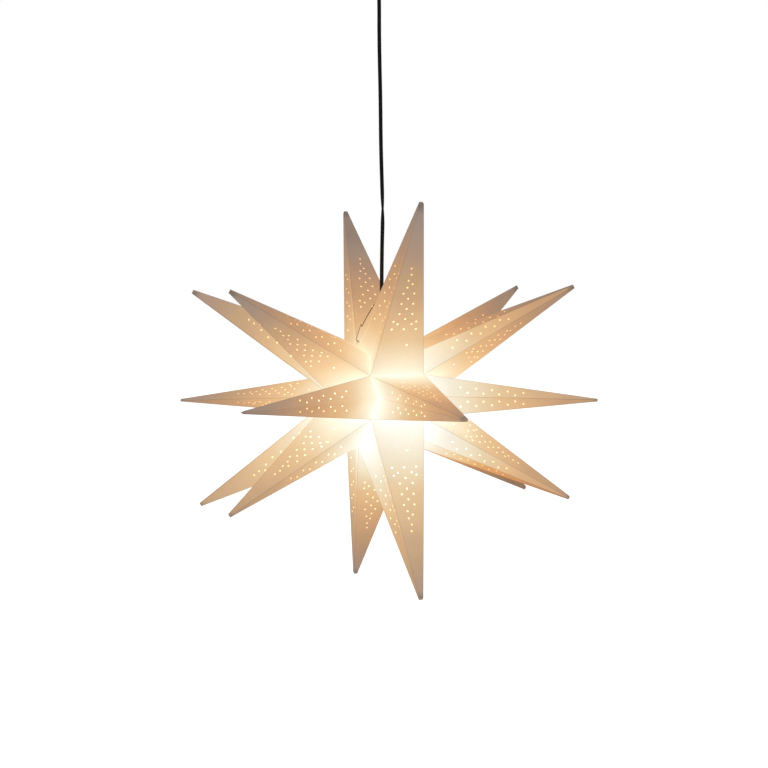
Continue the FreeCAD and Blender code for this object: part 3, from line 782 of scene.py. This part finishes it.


# painted light and shade of the walls that the photograph shows, by point and by the wall's place
# in its base: how dark and how orange each wall is lit
PAINTED_WALL_LIGHT: dict[str, dict[int, Tone]] = {
    "point_front": {3: Tone(0.82, 0.2), 4: Tone(0.80, 0.4), 5: Tone(0.88, 0.5)},
    "point_upper_front": {2: Tone(1.01, -0.29), 3: Tone(0.97, 0.22), 4: Tone(1.01, 0.21)},
    "point_lower_front": {2: Tone(0.98, -0.6), 3: Tone(0.9, -0.34), 4: Tone(0.9, -0.15)},
    "point_upper_back": {3: Tone(1.04, -0.05), 5: Tone(1.19, 0.26)},
    "point_lower_back": {3: Tone(1.09, -0.49), 5: Tone(1.06, 0.16)},
    "point_left_front": {0: Tone(1.10, 0.1), 1: Tone(1.12, 0.4)},
    "point_left_upper_front": {0: Tone(1.05, 0.29), 1: Tone(0.99, 0.39), 2: Tone(1.02, -0.22)},
    "point_left_lower_front": {1: Tone(0.90, -0.1), 2: Tone(0.86, -0.3)},
    "point_left_back": {2: Tone(0.92, 0.22), 3: Tone(0.99, -0.21)},
    "point_left_upper_back": {3: Tone(0.89, -0.37)},
    "point_left_lower_back": {3: Tone(0.78, -0.53)},
    "point_right_front": {0: Tone(0.76, -0.35), 1: Tone(0.77, 0.06)},
    "point_right_upper_front": {0: Tone(1.12, 0.63), 1: Tone(0.74, 0.24), 2: Tone(0.92, 0.24)},
    "point_right_lower_front": {0: Tone(0.85, 1.45), 1: Tone(0.7, 0.12), 2: Tone(0.88, -0.05)},
    "point_right_upper_back": {3: Tone(1.06, 0.74)},
    "point_right_lower_back": {3: Tone(1.36, 1.6)},
}


def star_places() -> list[PointPlace]:
    """The eighteen points."""
    return [PointPlace(tier, depth, side) for depth in Depth for tier in Tier for side in Side]


@dataclass
class ClosingFlap:
    """Flap beside the upper front point, over the star's top seam, with a painted shadow along its
    free edge.
    """
    side: Side
    body: StarBody
    length: float = 0.074       # how far up the ridge the flap runs
    reach: float = 0.0055       # how far its bowed part stands out
    step: float = 0.0035        # how much further its lower part does
    step_at: float = 0.030
    root: float = 0.007         # how far it reaches back over the wall
    low: float = 0.0075         # start on the wall, and on the free edge
    low_edge: float = 0.005
    sheet: float = 0.0006
    edge: float = 0.0016        # width of the dark border, a painted shadow of the gap under the free edge
    lift: float = 0.00005       # air between the flap and the wall
    # painted light and shade of the flap, as on the walls
    tone: Tone = Tone(1.0, 0.2)

    def outline(self) -> list[tuple[float, float]]:
        """Outline as (distance up the ridge, distance out from it)."""
        hook = self.reach + self.step
        bow = [(self.step_at + (self.length - self.step_at) * share,
                self.reach * math.cos(share * math.pi / 2))
               for share in (0.0, 0.2, 0.4, 0.6, 0.8, 1.0)]
        return [(self.low, -self.root / 2), (self.low_edge, self.reach), (self.step_at, hook), *bow,
                (self.length, -self.root / 2), (self.step_at, -self.root)]

    def build(self, materials: Sequence[bpy.types.Material]) -> bpy.types.Object:
        """Builds the flap.

        Args:
            materials: Finishes of the outside, the inside, and the painted shadow along the free
                edge.
        Returns:
            The finished object, riding with the star.
        """
        place = PointPlace(Tier.UPPER, Depth.FRONT, Side.MIDDLE)
        point = StarPoint(place, self.body, PinPattern())
        base, tip = point.base(), point.tip()
        middle = sum(base, Vector()) / len(base)
        rear, front = (5, 4) if self.side is Side.LEFT else (0, 1)
        foot = base[rear]
        along = (tip + (foot - middle) * point.end_share - foot).normalized()
        facet = along.cross(base[front] - foot).normalized()
        facet *= 1.0 if facet.x * self.side > 0 else -1.0
        outward = facet.cross(along)
        outward *= -1.0 if outward.dot(base[front] - foot) > 0 else 1.0
        bm = bmesh.new()
        shade = bm.faces.layers.float.new("shade")
        warmth = bm.faces.layers.float.new("warmth")
        lift = facet * self.lift
        face = bm.faces.new([bm.verts.new(foot + along * up + outward * out + lift)
                             for up, out in self.outline()])
        made = bmesh.ops.extrude_face_region(bm, geom=[face])["geom"]
        bmesh.ops.translate(bm, vec=facet * self.sheet,
                            verts=[item for item in made if isinstance(item, bmesh.types.BMVert)])
        bmesh.ops.recalc_face_normals(bm, faces=bm.faces)
        # every face starts in the third slot; the flats' middles and all on the wall's side go back
        # to the sheet, leaving the painted shadow along the free edge
        for face in bm.faces:
            face.material_index = Part.WELD
        flats = [face for face in bm.faces if abs(face.normal.dot(facet)) > 0.9]
        bmesh.ops.inset_individual(bm, faces=flats, thickness=self.edge)
        for face in bm.faces:
            out = (face.calc_center_median() - foot).dot(outward)
            if face in flats or out < 0.0:
                face.material_index = Part.OUTSIDE
            face[shade] = self.tone.shade
            face[warmth] = self.tone.warmth
        name = "closing_flap_" + self.side.name.lower()
        obj = new_object("sheet_" + name, bm, materials)
        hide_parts(name)
        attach(obj, "pendant")
        return obj


# ---- the flat flex ----
@dataclass
class FlatFlex:
    """Flat two-core flex that hangs taut from the clamp to the lampholder."""
    width: float = 0.0054
    thickness: float = 0.0032
    waist: float = 0.72             # thickness between the cores, as a share
    exit: float = -0.06827          # where the clamp lets it go
    top: float = -0.0687
    bottom: float = -0.57584
    straight_top: float = 0.008
    straight_bottom: float = 0.012
    sides: int = 20
    curve_steps: int = 24
    on_axis: float = 1e-6           # closer to the section's middle than this is on it
    # bends as (height, shift to the right)
    bends: tuple[tuple[float, float], ...] = (
        (-0.0900, 0.0011), (-0.1400, 0.0003), (-0.1850, 0.0005), (-0.2250, 0.0009),
        (-0.2900, 0.0005), (-0.3550, 0.0016), (-0.3850, 0.0019), (-0.4300, 0.0000),
        (-0.4860, -0.0014), (-0.5200, -0.0006),
    )
    twist_middle: float = -0.3800
    twist_length: float = 0.0700

    def route(self) -> bpy.types.Object:
        """The centreline, as a curve with no thickness."""
        data = bpy.data.curves.new("flex_route", "CURVE")
        data.dimensions = "3D"
        data.resolution_u = self.curve_steps
        spline = data.splines.new("NURBS")
        spots = [(0.0, self.top), (0.0, self.top - self.straight_top)]
        spots += [(shift, height) for height, shift in self.bends]
        spots += [(0.0, self.bottom + self.straight_bottom), (0.0, self.bottom)]
        spline.points.add(len(spots) - 1)
        for point, (shift, height) in zip(spline.points, spots):
            point.co = (shift, 0.0, height, 1.0)
        spline.order_u = 3
        spline.use_endpoint_u = True
        return bpy.data.objects.new("flex_route", data)

    def path(self) -> list[Vector]:
        """Places along the centreline."""
        route = self.route()
        mesh = bpy.data.meshes.new_from_object(route)
        spots = [vert.co.copy() for vert in mesh.vertices]
        bpy.data.meshes.remove(mesh)
        bpy.data.objects.remove(route)
        return sorted(spots, key=lambda spot: -spot.z)

    def turn_at(self, height: float) -> float:
        """Twist of the flat section about the flex at a height, in radians."""
        share = (self.twist_middle + self.twist_length / 2 - height) / self.twist_length
        share = min(1.0, max(0.0, share))
        return math.pi * share * share * (3 - 2 * share)

    def build(self, material: bpy.types.Material) -> bpy.types.Object:
        """Builds the flex by carrying its section down the route."""
        path = self.path()
        bm = bmesh.new()
        made = bmesh.ops.create_circle(bm, cap_ends=True, radius=self.thickness / 2,
                                       segments=self.sides)
        ring = made["verts"]
        spread = (self.width - self.thickness) / 2
        for way in (-1, 1):
            half = [vert for vert in ring if vert.co.x * way > self.on_axis]
            bmesh.ops.translate(bm, verts=half, vec=(way * spread, 0, 0))
        waist = [vert for vert in ring if abs(vert.co.x) <= self.on_axis]
        bmesh.ops.scale(bm, verts=waist, vec=(1.0, self.waist, 1.0))
        place = self.section_at(path, 0)
        bmesh.ops.transform(bm, matrix=place, verts=ring)
        edges = list(bm.edges)
        for i in range(1, len(path)):
            made = bmesh.ops.extrude_edge_only(bm, edges=edges)["geom"]
            verts = [item for item in made if isinstance(item, bmesh.types.BMVert)]
            edges = [item for item in made if isinstance(item, bmesh.types.BMEdge)
                     and item.verts[0] in verts and item.verts[1] in verts]
            after = self.section_at(path, i)
            bmesh.ops.transform(bm, matrix=after @ place.inverted(), verts=verts)
            place = after
        bmesh.ops.holes_fill(bm, edges=edges, sides=0)
        bmesh.ops.recalc_face_normals(bm, faces=bm.faces)
        obj = new_object("flex", bm, [material], smooth=True)
        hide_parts("flex_cord")
        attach(obj, "pendant")
        length = sum((b - a).length for a, b in zip(path, path[1:]))
        [tuple(spot) for spot in path]
        return obj

    def section_at(self, path: Sequence[Vector], i: int) -> Matrix:
        """Place of the section at one step of the route."""
        along = (path[min(i + 1, len(path) - 1)] - path[max(i - 1, 0)]).normalized()
        lean = Vector((0.0, 0.0, -1.0)).rotation_difference(along).to_matrix().to_4x4()
        return Matrix.Translation(path[i]) @ lean @ Matrix.Rotation(self.turn_at(path[i].z), 4, "Z")


# ---- the studio ----
@dataclass(frozen=True)
class Studio:
    """Pale floor, soft light and a camera at the photograph's place."""
    azimuth: float = -19.6
    elevation: float = 3.1
    roll: float = 0.8
    distance: float = 2.746
    lens: float = 93.75
    sensor: float = 36.0
    low_shift: float = 11.0 / 768.0     # 11 of the picture's 768 pixels
    clip: float = 50.0
    room_light: float = 0.22
    floor_height: float = -2.4
    floor_size: float = 60.0
    floor_colour: tuple[float, float, float, float] = (0.9, 0.9, 0.9, 1.0)
    floor_roughness: float = 0.9
    white: tuple[float, float, float, float] = (1.0, 1.0, 1.0, 1.0)
    lamp_size: float = 1.8
    lamps: tuple[tuple[str, tuple[float, float, float], float], ...] = (
        ("key", (-2.2, -2.6, 0.9), 5.0), ("fill", (2.6, -1.2, 0.2), 2.5),
    )

    def camera(self) -> None:
        """Puts the camera where the photograph was taken from."""
        angles = (self.azimuth, self.elevation, self.roll)
        turn, rise, roll = (math.radians(angle) for angle in angles)
        right = Vector((math.cos(turn), math.sin(turn), 0.0))
        back = Vector((math.sin(turn) * math.cos(rise), -math.cos(turn) * math.cos(rise),
                       math.sin(rise)))
        up = back.cross(right)
        level = right * math.cos(roll) - up * math.sin(roll)
        upright = right * math.sin(roll) + up * math.cos(roll)
        data = bpy.data.cameras.new("camera")
        data.lens = self.lens
        data.sensor_width = self.sensor
        data.shift_y = self.low_shift
        data.clip_end = self.clip
        camera = bpy.data.objects.new("camera", data)
        turned = Matrix((level, upright, back)).transposed().to_4x4()
        stand = Vector((0, 0, -STAR_DROP)) + back * self.distance
        camera.matrix_world = Matrix.Translation(stand) @ turned
        bpy.context.scene.collection.objects.link(camera)
        bpy.context.scene.camera = camera

    def world(self) -> None:
        """White to the camera, dimmer as a source of light."""
        world = bpy.data.worlds.new("studio")
        bpy.context.scene.world = world
        world.use_nodes = True
        tree = world.node_tree
        sky = tree.nodes["Background"]
        seen = add_node(tree, "ShaderNodeLightPath").outputs["Is Camera Ray"]
        strength = ranged(tree, seen, wanted=(self.room_light, 1.0))
        join(tree, strength, sky.inputs["Strength"])
        sky.inputs["Color"].default_value = self.white

    def floor(self) -> None:
        """A large plain floor, white to the camera."""
        material, tree, surface = new_material("floor")
        surface.inputs["Base Color"].default_value = self.floor_colour
        surface.inputs["Roughness"].default_value = self.floor_roughness
        surface.inputs["Emission Color"].default_value = self.white
        seen = add_node(tree, "ShaderNodeLightPath").outputs["Is Camera Ray"]
        join(tree, seen, surface.inputs["Emission Strength"])
        bm = bmesh.new()
        bmesh.ops.create_grid(bm, x_segments=1, y_segments=1, size=self.floor_size,
                              matrix=Matrix.Translation((0, 0, self.floor_height)))
        new_object("floor", bm, [material])

    def lights(self) -> None:
        """Two large soft lamps."""
        for name, spot, power in self.lamps:
            data = bpy.data.lights.new(name, "AREA")
            data.shape = "DISK"
            data.size = self.lamp_size
            data.energy = power
            lamp = bpy.data.objects.new(name, data)
            place = Vector(spot)
            aim = Vector((0, 0, -STAR_DROP)) - place
            turned = aim.to_track_quat("-Z", "Y").to_matrix().to_4x4()
            lamp.matrix_world = Matrix.Translation(place) @ turned
            bpy.context.scene.collection.objects.link(lamp)

    def build(self) -> None:
        """Builds the whole studio."""
        bpy.context.scene.view_settings.view_transform = "Standard"
        self.world()
        self.floor()
        self.lights()
        self.camera()


FINISHES = (
    PlainFinish(Slot.FLEX, (0.0015, 0.0015, 0.0018), (0.003, 0.003, 0.0033), 0.55, bump=0.01),
    PlainFinish(Slot.CORE, (0.10, 0.20, 0.55), (0.08, 0.16, 0.48), 0.4),
    PlainFinish(Slot.ZINC, (0.62, 0.64, 0.66), (0.50, 0.52, 0.55), 0.32, metallic=1.0),
    PlainFinish(Slot.BLACK, (0.012, 0.012, 0.013), (0.020, 0.020, 0.021), 0.42),
    PlainFinish(Slot.CLEAR, (0.85, 0.87, 0.88), (0.80, 0.83, 0.85), 0.15,
                transmission=0.8),
    PlainFinish(Slot.BRASS, (0.70, 0.50, 0.20), (0.58, 0.40, 0.15), 0.28, metallic=1.0),
    PlainFinish(Slot.WHITE, (0.80, 0.79, 0.77), (0.74, 0.73, 0.71), 0.35),
    PlainFinish(Slot.PORCELAIN, (0.82, 0.80, 0.76), (0.76, 0.74, 0.70), 0.2),
    PlainFinish(Slot.NICKEL, (0.70, 0.68, 0.64), (0.58, 0.56, 0.52), 0.25, metallic=1.0),
    PlainFinish(Slot.BULB, (0.82, 0.81, 0.78), (0.76, 0.75, 0.72), 0.3),
    PlainFinish(Slot.GLOBE, (1.0, 0.90, 0.74), (1.0, 0.86, 0.68), 0.3, glow=3.0),
)


@dataclass
class Pendant:
    """The whole pendant: finishes on the construction pieces, and the pieces built here."""
    finishes: tuple[PlainFinish, ...] = FINISHES
    materials: dict[str, bpy.types.Material] = field(default_factory=dict)
    inside_glow: float = 2.3
    flap_shadow_colour: tuple[float, float, float] = (0.10, 0.06, 0.04)    # painted shadow along the flaps' free edge
    flap_shadow_glow: float = 0.06
    same_place: float = 1e-6        # corners closer than this are one
    sharp: float = 40.0             # degrees between faces that stay an edge

    def mix_finishes(self) -> None:
        """Makes every material once."""
        glow, mottle, grain = LampGlow().group(), SheetMottle().group(), Grain().group()
        for finish in self.finishes:
            self.materials[finish.slot.value] = finish.material(grain)
        self.materials["outside"] = LitSheet().material(glow, mottle)
        inner = LitSheet("lit_inside", strength=self.inside_glow, ridges=False)
        self.materials["inside"] = inner.material(glow, mottle)
        self.materials["weld"] = WeldAndShadowEdge().material(glow, mottle)
        self.materials["flap"] = LitSheet("flap_sheet", ridges=False).material(glow, mottle)
        # painted shadow of the gap under each flap's free edge
        edge = WeldAndShadowEdge("flap_edge", self.flap_shadow_colour, self.flap_shadow_glow)
        self.materials["flap_edge"] = edge.material(glow, mottle)
        self.materials[Slot.SHEET.value] = self.materials["weld"]

    def dress(self) -> None:
        """Gives every construction piece the finish of its slot."""
        slots = {part["node"]: part["material_slot"] for part in frame["record"]["subparts"]}
        for name, obj in frame["nodes"].items():
            obj.data.materials.clear()
            obj.data.materials.append(self.materials[slots[name]])
            self.round_off(obj)

    def round_off(self, obj: bpy.types.Object) -> None:
        """Shades a construction piece smooth across its flats, and leaves its true edges sharp."""
        if "custom_normal" in obj.data.attributes:
            obj.data.attributes.remove(obj.data.attributes["custom_normal"])
        obj.data.shade_smooth()
        obj.modifiers.new("joined", "WELD").merge_threshold = self.same_place
        obj.modifiers.new("edges", "EDGE_SPLIT").split_angle = math.radians(self.sharp)

    def build(self) -> None:
        """Builds everything in order and reports each step."""
        self.mix_finishes()
        self.dress()
        log.info("finishes on %d construction pieces", len(frame["nodes"]))
        body, pins = StarBody(), PinPattern()
        sheets = [self.materials[name] for name in ("outside", "inside", "weld")]
        for place in star_places():
            StarPoint(place, body, pins).build(sheets)
            log.info("%s: built", place.node)
        edged = [self.materials[name] for name in ("flap", "inside", "flap_edge")]
        for side in (Side.LEFT, Side.RIGHT):
            ClosingFlap(side, body).build(edged)
        log.info("closing flaps: built")
        FlatFlex().build(self.materials[Slot.FLEX.value])
        log.info("flex: built")


def main() -> None:
    """Builds the pendant and its studio."""
    logging.basicConfig(level=logging.INFO, format="%(name)s: %(message)s")
    Pendant().build()
    Studio().build()


if __name__ == "__main__":
    main()
